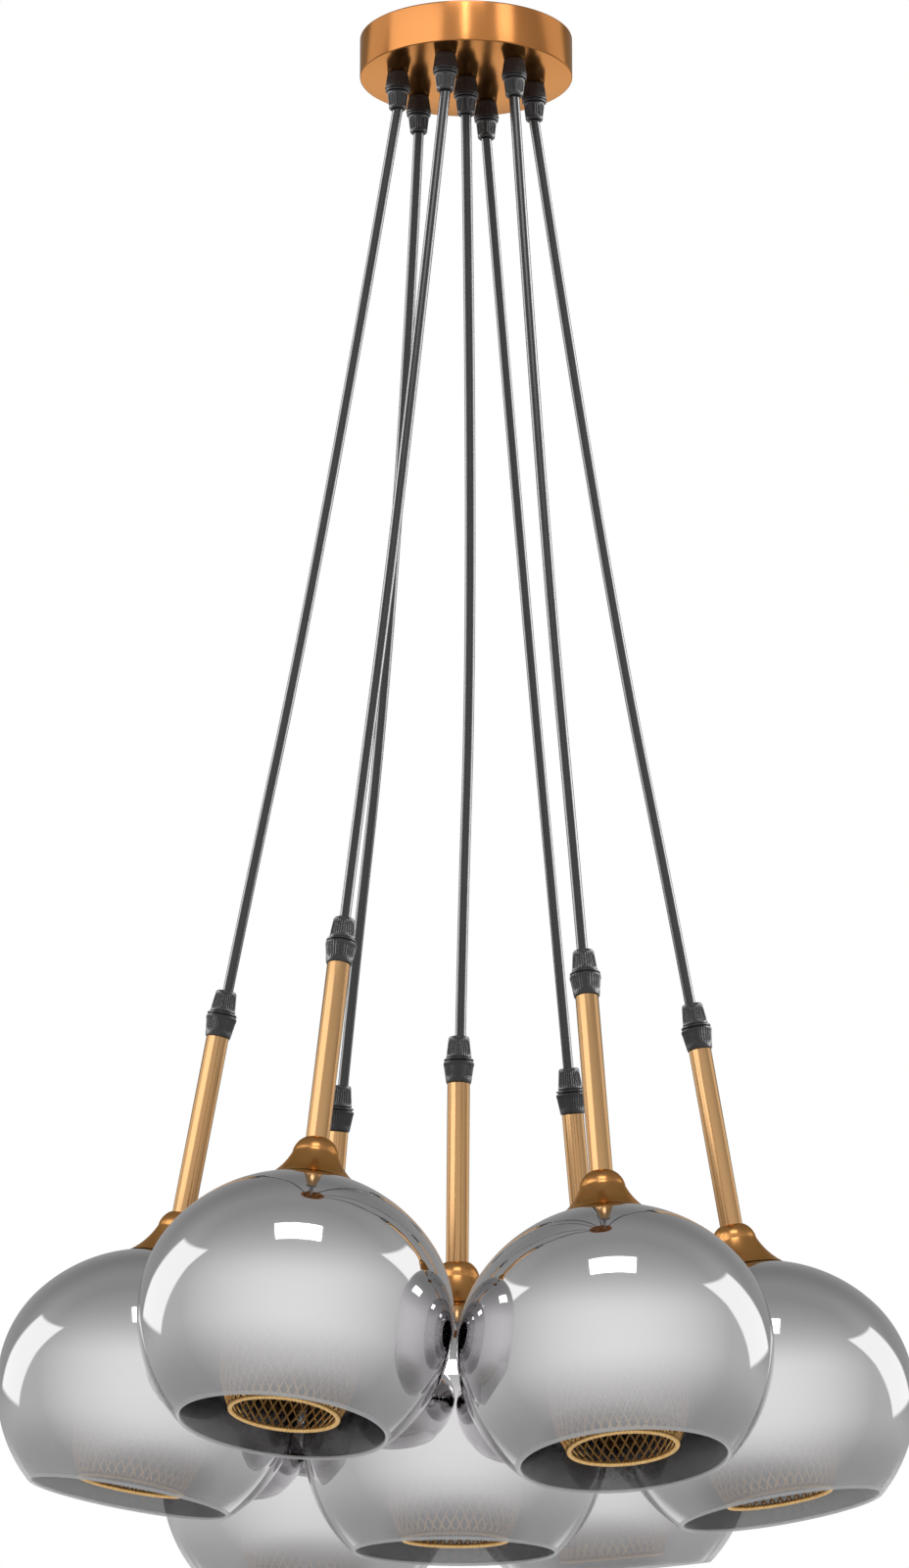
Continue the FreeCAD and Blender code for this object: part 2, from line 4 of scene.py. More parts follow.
import bmesh
import bpy
import numpy as np
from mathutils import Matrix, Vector


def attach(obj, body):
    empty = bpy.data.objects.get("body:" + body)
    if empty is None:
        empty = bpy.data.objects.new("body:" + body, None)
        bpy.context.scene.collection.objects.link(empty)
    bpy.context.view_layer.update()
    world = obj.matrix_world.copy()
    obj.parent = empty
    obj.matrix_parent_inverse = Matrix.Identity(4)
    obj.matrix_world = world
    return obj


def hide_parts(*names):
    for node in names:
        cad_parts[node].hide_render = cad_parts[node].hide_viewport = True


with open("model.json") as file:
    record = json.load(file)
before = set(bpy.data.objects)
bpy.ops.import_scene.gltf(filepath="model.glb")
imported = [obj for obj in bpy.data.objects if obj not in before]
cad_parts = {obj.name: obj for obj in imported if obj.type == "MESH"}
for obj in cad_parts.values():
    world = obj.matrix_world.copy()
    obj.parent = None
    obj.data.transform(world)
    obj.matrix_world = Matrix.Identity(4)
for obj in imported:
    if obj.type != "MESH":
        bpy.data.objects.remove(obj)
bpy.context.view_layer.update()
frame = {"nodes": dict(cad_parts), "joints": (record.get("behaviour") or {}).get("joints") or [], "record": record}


# Camera. It stands 3.6 m in front of the lamp and lower than the globes, and looks up through a
# long lens, so that the undersides of the canopy and of the globes show.
CAMERA_PLACE = (0, -3.6, -1.414)
CAMERA_RISE = 14.52

camera = bpy.data.objects.new("camera", bpy.data.cameras.new("camera"))
bpy.context.scene.collection.objects.link(camera)
camera.location = CAMERA_PLACE
camera.rotation_euler = (math.radians(90 + CAMERA_RISE), 0, 0)
camera.data.lens = 141.3
camera.data.shift_x = -0.0074
camera.data.shift_y = 0.0020
bpy.context.scene.camera = camera


# Where the seven pendants hang. Each one's line runs from the mouth of its grip under the canopy
# (its joint) down along the way that its lamp socket faces, and its own length of cord sets how low.
# Heights on a pendant are measured along that line, up from the middle of the globe's rim.
MM = 0.001
CORD_LENGTHS = {1: 0.568, 2: 0.551, 3: 0.569, 4: 0.573, 5: 0.587, 6: 0.599, 7: 0.586}
LOWER_GRIP_MOUTH = 308.4 * MM
joint_of = {joint["child"]: joint for joint in frame["joints"]}
mount_of = {mount["name"]: mount for mount in frame["record"]["mounts"]}


def pendant_place(number):
    """Turn, foot and top of a pendant: it turns along its cord, and its foot is the middle of the rim."""
    top = Vector(joint_of[f"pendant_{number}"]["pos_m"])
    down = Vector(mount_of[f"lamp_socket_{number}"]["axis"]).normalized()
    foot = top + down * (CORD_LENGTHS[number] + LOWER_GRIP_MOUTH)
    turn = Vector((0, 0, 1)).rotation_difference(-down).to_matrix()
    return np.array(turn), np.array(foot), np.array(top)


places = {number: pendant_place(number) for number in CORD_LENGTHS}


# Cords. Round three-core flex in a smooth black plastic jacket, 6.5 mm thick. Each one leaves a grip
# under the canopy, carries its globe, and goes through the lower grip and down the stem.
CORD_RADIUS = 3.25 * MM
CORD_FOOT = 156.0 * MM
CORD_BOW = {1: 0.003, 2: 0.003, 3: 0.003, 4: 0.0035, 5: 0.002, 6: 0.009, 7: 0.0035}
MIDDLE_PENDANT = 7


class Value:
    """A shader socket in a sum: each operator adds the Math node that works it out."""

    def __init__(self, material, socket):
        self.material, self.socket = material, socket

    def _with(self, operation, *others, swapped=False):
        terms = (*others, self) if swapped else (self, *others)
        return self.material.node("Math", {"operation": operation}, terms)

    def __add__(self, other):
        return self._with("ADD", other)

    __radd__ = __add__

    def __sub__(self, other):
        return self._with("SUBTRACT", other)

    def __rsub__(self, other):
        return self._with("SUBTRACT", other, swapped=True)

    def __mul__(self, other):
        return self._with("MULTIPLY", other)

    __rmul__ = __mul__

    def __pow__(self, other):
        return self._with("POWER", other)

    def at_least(self, other):
        return self._with("MAXIMUM", other)

    def step(self, low, high):
        """Goes smoothly from 0 at low to 1 at high."""
        sockets = {"Value": self, "From Min": low, "From Max": high}
        return self.material.node("MapRange", {"interpolation_type": "SMOOTHSTEP"}, sockets)

    def parts(self):
        """The three numbers of a vector."""
        first = self.material.node("SeparateXYZ", None, (self,))
        return [Value(self.material, socket) for socket in first.socket.node.outputs]


class Finish:
    """A material, or the world, built node by node."""

    def __init__(self, holder):
        self.holder = holder
        holder.use_nodes = True
        self.tree = holder.node_tree
        self.tree.nodes.clear()

    def node(self, kind, settings=None, sockets=(), out=0):
        """Adds a node: its settings first, then its sockets' values or links, in order or by name or number.

        It gives back the output that out names, or none where the node has no output.
        """
        made = self.tree.nodes.new("ShaderNode" + kind)
        for key, value in (settings or {}).items():
            setattr(made, key, value)
        for key, value in sockets.items() if isinstance(sockets, dict) else enumerate(sockets):
            if isinstance(value, Value):
                self.tree.links.new(value.socket, made.inputs[key])
            else:
                made.inputs[key].default_value = value
        return Value(self, made.outputs[out]) if made.outputs else None

    def blend(self, factor, first, second):
        """Mixes two colours; a colour mix has its factor and colours at sockets 0, 6 and 7."""
        return self.node("Mix", {"data_type": "RGBA"}, {0: factor, 6: (*first, 1), 7: (*second, 1)}, out=2)

    def place(self):
        """Coordinates on the piece where it hangs, in metres."""
        return self.node("TexCoord", out="Object")

    def own_place(self):
        """Coordinates on the piece as it was made, in millimetres and before it was hung."""
        return self.node("Attribute", {"attribute_name": "own_place"}, out="Vector")

    def vector(self, x, y, z):
        return self.node("CombineXYZ", None, (x, y, z))

    def noise(self, vector, scale, detail, roughness=0.5):
        sockets = {"Vector": vector, "Scale": scale, "Detail": detail, "Roughness": roughness}
        return self.node("TexNoise", None, sockets)

    def bump(self, height, strength, distance):
        return self.node("Bump", None, {"Height": height, "Strength": strength, "Distance": distance})

    def surface(self, shader):
        """Ends the material in a shader, or in a Principled one with the sockets given by name."""
        if isinstance(shader, dict):
            shader = self.node("BsdfPrincipled", None, shader)
        self.node("OutputMaterial", None, (shader,))
        return self.holder


def finish(name):
    """A new material to build."""
    return Finish(bpy.data.materials.new(name))


def cord_jacket():
    """Black plastic with a soft sheen, slightly uneven from the extruder."""
    skin = finish("cord_jacket")
    place = skin.place()
    cloud = skin.noise(place, 90, 3)
    fine = skin.noise(place, 900, 2)
    return skin.surface(
        {
            "Base Color": skin.blend(cloud, (0.010, 0.010, 0.011), (0.018, 0.017, 0.019)),
            "Roughness": 0.16 + 0.08 * cloud,
            "Specular IOR Level": 0.6,
            "Normal": skin.bump(fine, 0.06, 0.0003),
        }
    )


def dress(node, material):
    """Gives a node of the frame a material in place of its own."""
    slots = frame["nodes"][node].data.materials
    slots.clear()
    slots.append(material)


jacket = cord_jacket()
for number, (turn, foot, top) in places.items():
    mouth, end = (foot + turn @ np.array([0, 0, height]) for height in (LOWER_GRIP_MOUTH, CORD_FOOT))
    middle = (top + mouth) / 2
    inward = np.array([1.0, 0, 0]) if number == MIDDLE_PENDANT else -middle * [1, 1, 0]
    # The curve passes half as far out as its middle control point.
    control = middle + inward / np.linalg.norm(inward) * 2 * CORD_BOW[number]
    route = [top, control, mouth, end]
    curve = bpy.data.curves.new(f"flex_{number}", "CURVE")
    curve.dimensions = "3D"
    curve.bevel_depth = CORD_RADIUS
    curve.bevel_resolution = 6
    curve.use_fill_caps = True
    spline = curve.splines.new("NURBS")
    spline.points.add(len(route) - 1)
    spline.points.foreach_set("co", np.array([[*point, 1] for point in route]).ravel())
    spline.order_u = 3
    spline.use_endpoint_u = True
    spline.resolution_u = 24
    curve.materials.append(jacket)
    flex = bpy.data.objects.new(f"flex_{number}", curve)
    bpy.context.scene.collection.objects.link(flex)
    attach(flex, f"pendant_{number}")
    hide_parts(f"cord_{number}")
dress("cord_tails", jacket)


# Studio. Plain soft light: one soft box above, a lit front, a dimmer top and back, a tall bright pane on
# each side, and a pale floor well below the lamp. A panel at the front left lights the brass alone, two
# narrow strips draw upright bands on the canopy's wall, and a panel on each side edges the black pieces.
AMBIENT = 0.8
PANE = 1.30
FLOOR_HEIGHT, FLOOR_REACH = -2.3, 5


def studio_world():
    """White to the camera; metal and glass see the room and its two panes; soft grey light for the rest.

    The room brightens to the front and dims towards the top, the foot and the upper back, and glows low
    at the back. The panes are bands of a slanting plane's height, cut off above and at a slanting sill.
    """
    studio = Finish(bpy.data.worlds.new("studio"))
    _, back, up = studio.node("TexCoord", out="Generated").parts()
    down = 0 - up
    front = (0 - back).at_least(0.0)
    dim_top = 1 - 0.42 * up.step(0.25, 1.0)
    dim_foot = 1 - 0.3 * down.step(0.7, 0.98)
    dim_back = 1 - 0.4 * back.step(0.2, 0.7) * up.step(-0.1, 0.2)
    low_glow = 1 + 1.3 * back.step(0.75, 0.92) * down.step(0.2, 0.3)
    room = (0.60 + 0.44 * front) * dim_top * dim_foot * dim_back * low_glow
    slant = back + 0.92 * up
    sides = slant.step(0.36, 0.40) * (1 - slant.step(0.90, 0.95))
    sill = (up - 0.51 * back).step(-0.30, -0.26) * (1 - up.step(0.58, 0.61))
    seen = room + (PANE - room) * sides * sill
    camera_ray, glossy_ray, through_ray = (
        studio.node("LightPath", out=f"Is {ray} Ray") for ray in ("Camera", "Glossy", "Transmission")
    )
    plain = camera_ray + through_ray
    strength = plain + (1 - plain) * (glossy_ray * seen + (1 - glossy_ray) * AMBIENT)
    light = studio.node("Background", None, {"Color": (1, 1, 1, 1), "Strength": strength})
    studio.node("OutputWorld", None, (light,))
    return studio.holder


def floor_paint():
    """Pale matt paint; metal and glass see the studio through it, so that its edge never shows in them."""
    paint = finish("floor_paint")
    matt = paint.node("BsdfPrincipled", None, {"Base Color": (0.90, 0.90, 0.90, 1), "Roughness": 0.6})
    clear = paint.node("BsdfTransparent")
    glossy_ray = paint.node("LightPath", out="Is Glossy Ray")
    return paint.surface(paint.node("MixShader", None, (glossy_ray, matt, clear)))


bpy.context.scene.world = studio_world()
brass_pieces = bpy.data.collections.new("brass_pieces")
canopy_pieces = bpy.data.collections.new("canopy_pieces")
black_pieces = bpy.data.collections.new("black_pieces")
for number in places:
    black_pieces.objects.link(bpy.data.objects[f"flex_{number}"])
for name, spot, aim_height, size, power, lit in (
    ("soft_box", (0, -1.22, 0.95), -0.5, (1.0, 0.60), 7, None),
    ("brass_panel", (-1.68, -1.09, 0.30), 0, (2.4, 1.6), 21, brass_pieces),
    ("canopy_strip_right", (1.0, -1.12, 0.56), 0, (0.44, 0.5), 2.2, canopy_pieces),
    ("canopy_strip_middle", (-0.02, -1.45, 0.57), 0, (0.06, 0.5), 1.6, canopy_pieces),
    ("edge_panel_left", (-1.80, 0.35, 0.3), 0, (1.3, 1.5), 42, black_pieces),
    ("edge_panel_right", (1.80, 0.35, 0.3), 0, (1.3, 1.5), 60, black_pieces),
):
    lamp = bpy.data.objects.new(name, bpy.data.lights.new(name, "AREA"))
    lamp.data.shape = "RECTANGLE"
    lamp.data.size, lamp.data.size_y = size
    lamp.data.energy = power
    lamp.location = spot
    aim = Vector((0, 0, aim_height)) - Vector(spot)
    lamp.rotation_euler = aim.to_track_quat("-Z", "Y").to_euler()
    if lit:
        lamp.light_linking.receiver_collection = lit
    bpy.context.scene.collection.objects.link(lamp)

corners = [
    (across * FLOOR_REACH, back * FLOOR_REACH, FLOOR_HEIGHT)
    for across, back in ((-1, -1), (1, -1), (1, 1), (-1, 1))
]
floor_mesh = bpy.data.meshes.new("floor")
floor_mesh.from_pydata(corners, [], [(0, 1, 2, 3)])
floor_mesh.materials.append(floor_paint())
floor = bpy.data.objects.new("floor", floor_mesh)
bpy.context.scene.collection.objects.link(floor)


# Canopy. A spun dish of copper-coloured brass, 132 mm across, its wall and floor brushed round and
# round and clear-lacquered. It is held by two side screws in the strap under the ceiling.
CANOPY_RADIUS, CANOPY_DEPTH, CANOPY_WALL, CANOPY_FLOOR, CANOPY_EDGE = 66.2, 26, 1.2, 1.5, 0.9


def soften(corners, radius, steps=4):
    """Rounds each corner of a closed outline by a quadratic curve.

    It runs between the points a radius away on each side, or a share of that side where it is short.
    """
    most = 0.45
    corners = np.array(corners, float)
    before, after = np.roll(corners, 1, 0) - corners, np.roll(corners, -1, 0) - corners
    long_before = np.linalg.norm(before, axis=1, keepdims=True)
    long_after = np.linalg.norm(after, axis=1, keepdims=True)
    start = corners + before / long_before * np.minimum(radius, most * long_before)
    end = corners + after / long_after * np.minimum(radius, most * long_after)
    t = np.linspace(0, 1, steps + 1)[None, :, None]
    bent = (1 - t) ** 2 * start[:, None] + 2 * t * (1 - t) * corners[:, None] + t**2 * end[:, None]
    return bent.reshape(-1, 2)


def turned(outline, columns):
    """A closed outline of (radius, height) carried round the upright axis: a grid of outline by columns."""
    angle = np.linspace(0, 2 * np.pi, columns, endpoint=False)
    radius, height = np.array(outline, float).T
    x = radius[:, None] * np.cos(angle)
    y = radius[:, None] * np.sin(angle)
    return np.stack([x, y, np.broadcast_to(height[:, None], x.shape)], -1)


def grid_faces(rows, columns, rows_close=True):
    """Four-cornered faces between neighbours on a grid. Its columns close round; its rows do where asked."""
    index = np.arange(rows * columns).reshape(rows, columns)
    if rows_close:
        index = np.vstack([index, index[:1]])
    index = np.hstack([index, index[:, :1]])
    return np.stack([index[:-1, :-1], index[1:, :-1], index[1:, 1:], index[:-1, 1:]], -1).reshape(-1, 4)


def closed(points):
    """A grid of points with its faces, closed round both ways."""
    return points, grid_faces(*points.shape[:2])


def build(name, grids, material, body, nodes, slot, turn=np.eye(3), foot=np.zeros(3), marks=None, sharp=40):
    """Makes a piece from grids of points and faces, in millimetres, and hangs it by turn and foot.

    It rides on its body and stands for its nodes. marks are numbers on the points, by name, for the
    material, and an edge is sharp from the angle given in degrees.
    """
    starts = np.cumsum([0] + [points[..., 0].size for points, _ in grids])
    own = np.concatenate([points.reshape(-1, 3) for points, _ in grids])
    faces = np.concatenate([faces + start for (_, faces), start in zip(grids, starts)])
    mesh = bpy.data.meshes.new(name)
    mesh.from_pydata((own * MM) @ np.array(turn).T + foot, [], faces.tolist())
    mesh.attributes.new("own_place", "FLOAT_VECTOR", "POINT").data.foreach_set("vector", own.ravel())
    for label, values in (marks or {}).items():
        mesh.attributes.new(label, "FLOAT", "POINT").data.foreach_set("value", values.ravel())
    shell = bmesh.new()
    shell.from_mesh(mesh)
    bmesh.ops.remove_doubles(shell, verts=shell.verts, dist=1e-7)
    bmesh.ops.recalc_face_normals(shell, faces=shell.faces)
    shell.to_mesh(mesh)
    shell.free()
    mesh.shade_smooth()
    mesh.set_sharp_from_angle(angle=math.radians(sharp))
    mesh.materials.append(material)
    piece = bpy.data.objects.new(name, mesh)
    bpy.context.scene.collection.objects.link(piece)
    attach(piece, body)
    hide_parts(*nodes)
    return piece


def brushed_brass(name, tone, dark_tone, edge_tone, roughness, lie, rougher_wall=0.0, bump=0.04):
    """Lacquered brass with fine brushed lines: lie gives the coordinates that change across the lines.

    rougher_wall adds to the roughness of all that stands over the floor of a dish.
    """
    metal = finish(name)
    place = metal.own_place()
    fine = metal.noise(lie(metal, place), 5.0, 3, 0.6)
    cloud = metal.noise(place, 0.05, 3)
    rough = roughness + 0.06 * fine + 0.03 * cloud
    if rougher_wall:
        height = place.parts()[2]
        rough = rough + rougher_wall * height.step(1.0, 3.0)
    return metal.surface(
        {
            "Base Color": metal.blend(fine.step(0.3, 0.7), dark_tone, tone),
            "Metallic": 1.0,
            "Specular Tint": (*edge_tone, 1),
            "Roughness": rough,
            "Normal": metal.bump(fine, bump, 0.0003),
        }
    )


def spun(metal, place):
    """Lines round the axis."""
    x, y, z = place.parts()
    return metal.vector((x * x + y * y) ** 0.5, 0.0, z)


canopy_brass = brushed_brass(
    "canopy_brass",
    (0.44, 0.185, 0.058),
    (0.37, 0.145, 0.045),
    (1.0, 0.82, 0.62),
    0.12,
    spun,
    rougher_wall=0.03,
)
canopy_bore = CANOPY_RADIUS - CANOPY_WALL
canopy_outline = soften(
    [
        (0, 0),
        (CANOPY_RADIUS, 0),
        (CANOPY_RADIUS, CANOPY_DEPTH),
        (canopy_bore, CANOPY_DEPTH),
        (canopy_bore, CANOPY_FLOOR),
        (0, CANOPY_FLOOR),
    ],
    CANOPY_EDGE,
)
dish = build(
    "canopy_dish",
    [closed(turned(canopy_outline, columns=256))],
    canopy_brass,
    "canopy",
    ["canopy_shell"],
    "canopy_brass",
    foot=np.array([0, 0, -CANOPY_DEPTH * MM]),
)
brass_pieces.objects.link(dish)
canopy_pieces.objects.link(dish)
dress("bracket_screws", canopy_brass)


# Strap and terminal block. The strap is zinc-plated steel bent down at both ends and screwed to the
# ceiling; the block under it is moulded white nylon, where the cords are wired to the supply.
def zinc_plate():
    """Bright zinc with the cloudy crystals of plating."""
    plate = finish("zinc_plate")
    place = plate.place()
    crystals = plate.node("TexVoronoi", None, {"Vector": place, "Scale": 140.0}, out="Color")
    cloud = plate.noise(place, 60, 3)
    return plate.surface(
        {
            "Base Color": plate.blend(cloud.step(0.3, 0.7), (0.50, 0.51, 0.53), (0.68, 0.69, 0.70)),
            "Metallic": 1.0,
            "Roughness": 0.32 + 0.15 * cloud,
            "Normal": plate.bump(crystals, 0.05, 0.0004),
        }
    )


def moulded(name, tone, light_tone, roughness):
    """Moulded plastic with a fine spark-eroded grain."""
    plastic = finish(name)
    place = plastic.place()
    grain = plastic.noise(place, 2600, 2)
    cloud = plastic.noise(place, 120, 2)
    return plastic.surface(
        {
            "Base Color": plastic.blend(cloud, tone, light_tone),
            "Roughness": roughness + 0.12 * grain,
            "Normal": plastic.bump(grain, 0.12, 0.0002),
        }
    )


dress("ceiling_bracket", zinc_plate())
dress("terminal_block", moulded("white_nylon", (0.76, 0.76, 0.72), (0.84, 0.84, 0.80), 0.40))


# Cord grips. Black nylon in three turns: a ribbed cap that pinches the cord, a thin ring, and a ribbed
# nut that tapers towards the stem or the canopy. Seven small ones under the canopy, seven larger below.
CANOPY_GRIP_SCALE = 0.85
RIBS, COLUMNS_PER_RIB, RIB_DEPTH, RIB_FADE = 34, 5, 0.46, 0.8
SMOOTH_RADIUS = 5.9
OUTLINE_STEP = 1.2
CAP_OUTLINE = [(3.6, 1.2), (4.7, 0.0), (5.7, 0.0), (6.3, 0.9), (7.6, 12.6), (7.3, 13.5), (3.6, 13.5)]
NUT_RING = [(3.6, 13.5), (8.1, 13.5), (8.9, 13.8), (8.9, 14.7), (7.9, 15.0)]
NUT_BODY = [(7.9, 15.5), (9.2, 15.9), (9.2, 17.2), (8.9, 18.2), (7.6, 27.3), (7.3, 28.4)]
NUT_SPIGOT = [(5.2, 28.4), (5.2, 35.5), (3.6, 35.5)]
CAP_RIBS, NUT_RIBS = (1.6, 12.4), (16.2, 25.6)


def ribbed(outline, low, high):
    """Turned outline with ribs: outside, between two heights, the radius dips by a cosine between ribs."""
    ends = np.vstack([outline, outline[:1]])
    walked = np.concatenate([[0], np.cumsum(np.linalg.norm(np.diff(ends, axis=0), axis=1))])
    stops = np.unique(np.concatenate([walked, np.arange(0, walked[-1], OUTLINE_STEP)]))[:-1]
    fine = np.stack([np.interp(stops, walked, ends[:, 0]), np.interp(stops, walked, ends[:, 1])], 1)
    points = turned(fine, RIBS * COLUMNS_PER_RIB)
    x, y, height = np.moveaxis(points, -1, 0)
    radius = np.hypot(x, y)
    mask = np.clip((height - low) / RIB_FADE, 0, 1) * np.clip((high - height) / RIB_FADE, 0, 1)
    mask = mask * (radius > SMOOTH_RADIUS)
    dip = 1 - RIB_DEPTH * mask * (0.5 - 0.5 * np.cos(RIBS * np.arctan2(y, x))) / radius
    return closed(points * np.stack([dip, dip, np.ones_like(dip)], -1))


grip = [
    ribbed(soften(CAP_OUTLINE, 0.5, steps=3), *CAP_RIBS),
    ribbed(soften(NUT_RING + NUT_BODY + NUT_SPIGOT, 0.35, steps=2), *NUT_RIBS),
]
grip_plastic = moulded("grip_plastic", (0.011, 0.011, 0.012), (0.020, 0.019, 0.020), 0.30)
dress("canopy_locknuts", grip_plastic)
upper_grips = build(
    "canopy_grips",
    [
        (points * CANOPY_GRIP_SCALE + top / MM, faces)
        for _, _, top in places.values()
        for points, faces in grip
    ],
    grip_plastic,
    "canopy",
    ["canopy_grip_caps", "canopy_grip_bodies"],
    "grip_plastic",
)
black_pieces.objects.link(upper_grips)


def hang(number, kind, grids, material, node, slot, **options):
    """Builds a piece of one pendant where that pendant hangs."""
    turn, foot, _ = places[number]
    name, body, nodes = f"{kind}_{number}", f"pendant_{number}", [f"{node}_{number}"]
    return build(name, grids, material, body, nodes, slot, turn, foot, **options)


flipped_grip = [(points * [1, -1, -1] + [0, 0, LOWER_GRIP_MOUTH / MM], faces) for points, faces in grip]
for number in places:
    lower_grip = hang(number, "grip", flipped_grip, grip_plastic, "cord_grip", "grip_plastic")
    black_pieces.objects.link(lower_grip)


# Stems. Drawn brass tube, 13.5 mm across, satin-brushed along its length and lacquered. It is threaded
# on the lamp holder's neck below and takes the cord grip's spigot above.
STEM_FOOT = CORD_FOOT / MM
STEM_TOP, STEM_RADIUS, STEM_BORE, STEM_EDGE = 280, 6.75, 5.6, 0.3


def drawn(metal, place):
    """Lines along the axis."""
    x, y, z = place.parts()
    return metal.vector(0.3 * x, 0.3 * y, 0.003 * z)


stem_brass = brushed_brass(
    "stem_brass", (0.49, 0.29, 0.135), (0.47, 0.275, 0.125), (1.0, 0.92, 0.80), 0.16, drawn, bump=0.0
)
stem_outline = soften(
    [(STEM_BORE, STEM_FOOT), (STEM_RADIUS, STEM_FOOT), (STEM_RADIUS, STEM_TOP), (STEM_BORE, STEM_TOP)],
    STEM_EDGE,
    steps=3,
)
stem_grid = closed(turned(stem_outline, columns=96))
for number in places:
    tube = hang(number, "tube", [stem_grid], stem_brass, "stem", "pendant_brass")
    brass_pieces.objects.link(tube)


# Flared caps. Spun brass like a trumpet's bell, copper-coloured, standing on the glass round its neck
# and held down by the stem. The side sweeps in from the foot to a waist and rounds off against the stem.
BELL_BASE, BELL_WAIST, BELL_TOP = 144.32, 162.32, 171.32
BASE_RADIUS, WAIST_RADIUS, TOP_RADIUS, BELL_BORE, BELL_SHEET = 27.5, 13.4, 8.2, 7.05, 1.1
SIDE_ARC, SHOULDER_ARC = 45, 12


def arc(centre, radius, start, end, steps):
    """Points on a circle arc from one angle to another, in degrees from straight outwards."""
    angle = np.radians(np.linspace(start, end, steps))
    return np.stack([centre[0] + radius * np.cos(angle), centre[1] + radius * np.sin(angle)], 1)


def bowed(start, end, radius, steps=14):
    """Arc between two points that bulges to the right of the way, or to the left for a negative radius."""
    start, end = np.array(start, float), np.array(end, float)
    half = (end - start) / 2
    reach = np.linalg.norm(half)
    right = np.array([half[1], -half[0]]) / reach
    centre = start + half - right * math.copysign(math.sqrt(radius**2 - reach**2), radius)
    first, last = (math.degrees(math.atan2(*(point - centre)[::-1])) for point in (start, end))
    last = first + (last - first + 180) % 360 - 180
    return arc(centre, abs(radius), first, last, steps)


def bell_outline():
    """Outside from foot to waist and round to the stem, then back the same way, a sheet further in."""
    base, waist = (BASE_RADIUS, BELL_BASE), (WAIST_RADIUS, BELL_WAIST)
    inner_base, inner_waist = (BASE_RADIUS - BELL_SHEET, BELL_BASE), (WAIST_RADIUS - BELL_SHEET, BELL_WAIST)
    return np.vstack(
        [
            bowed(base, waist, -SIDE_ARC, steps=20),
            bowed(waist, (TOP_RADIUS, BELL_TOP), SHOULDER_ARC)[1:],
            [(BELL_BORE, BELL_TOP)],
            bowed((BELL_BORE, BELL_TOP - BELL_SHEET), inner_waist, -SHOULDER_ARC),
            bowed(inner_waist, inner_base, SIDE_ARC + BELL_SHEET, steps=20)[1:],
        ]
    )


cap_brass = brushed_brass(
    "cap_brass", (0.54, 0.265, 0.09), (0.47, 0.22, 0.07), (1.0, 0.8, 0.55), 0.20, spun
)
bell_grid = closed(turned(bell_outline(), columns=128))
for number in places:
    bell = hang(number, "bell", [bell_grid], cap_brass, "flared_cap", "pendant_brass", sharp=50)
    brass_pieces.objects.link(bell)


# Globes. Blown smoke glass, 180 mm across and 2.6 mm thick, with a mirror coat that hides the inside
# and thins out towards the open rim, which is fire-polished and left clear.
GLOBE, RIM, DEPTH, CROWN, SHOULDER, NECK, WALL = 90.0, 60.2, 66.0, 82.0, 74.0, 21.0, 2.6
CLEAR_LIP = 1.6
GLOBE_COLUMNS = 200
low_arc = ((GLOBE - RIM) ** 2 + DEPTH**2) / (2 * (GLOBE - RIM))
crown_arc = ((GLOBE - SHOULDER) ** 2 + CROWN**2 - SHOULDER**2) / (2 * (CROWN - SHOULDER))
crown_middle = DEPTH + CROWN - crown_arc


def globe_outline():
    """Three arcs from rim to neck, and the same three a wall's thickness inside, joined by a round lip.

    It also gives how far each point is inside: 0 on the outside, 1 on the inside, a half on the lip.
    """
    low = math.degrees(math.asin(DEPTH / low_arc))
    lean = math.degrees(math.atan2(crown_arc - CROWN, GLOBE - SHOULDER))
    sides = []
    for thick in (0.0, WALL):
        neck = math.degrees(math.acos(NECK / (crown_arc - thick)))
        lower = arc((GLOBE - low_arc, DEPTH), low_arc - thick, -low, 0, steps=40)[:-1]
        shoulder = arc((GLOBE - SHOULDER, DEPTH), SHOULDER - thick, 0, lean, steps=40)[:-1]
        crown = arc((0, crown_middle), crown_arc - thick, lean, neck, steps=24)
        sides.append(np.vstack([lower, shoulder, crown]))
    outside, inside = sides
    lip_middle = (outside[0] + inside[0]) / 2
    start = math.degrees(math.atan2(*(inside[0] - lip_middle)[::-1]))
    lip = arc(lip_middle, WALL / 2, start, start + 180, steps=12)[1:-1]
    outline = np.vstack([outside, inside[::-1], lip])
    within = np.concatenate([np.zeros(len(outside)), np.ones(len(inside)), np.full(len(lip), 0.5)])
    return outline, within


def smoked_glass():
    """Mirror coat over smoke glass: nearly opaque, thinner over the last 40 mm, weaker on the inside."""
    glass = finish("smoked_glass")
    place = glass.own_place()
    height = place.parts()[2]
    within = glass.node("Attribute", {"attribute_name": "within"}, out="Fac")
    cloud = glass.noise(place, 0.02, 2)
    thin = 1 - height.step(4.0, 40.0)
    return glass.surface(
        {
            "Base Color": glass.blend(within, (0.70, 0.69, 0.70), (0.34, 0.33, 0.34)),
            "Metallic": 1.0,
            "Roughness": 0.035 + 0.02 * cloud,
            "Alpha": (1 - within) * (0.97 - 0.42 * thin) + within * (0.68 - 0.10 * thin),
        }
    )


def clear_glass():
    """Fire-polished lip, half clear, with a few faint ripples; its pale grey base colour is painted highlight,
    standing in for the bright line that the clear glass catches.
    """
    glass = finish("clear_glass")
    ripple = glass.noise(glass.own_place(), 0.08, 2)
    return glass.surface(
        {
            # Painted highlight: pale grey in place of the bright edge line of clear glass.
            "Base Color": (0.55, 0.56, 0.57, 1),
            "Roughness": 0.05 + 0.04 * ripple,
            "Alpha": 0.62,
            "Normal": glass.bump(ripple, 0.05, 0.001),
        }
    )


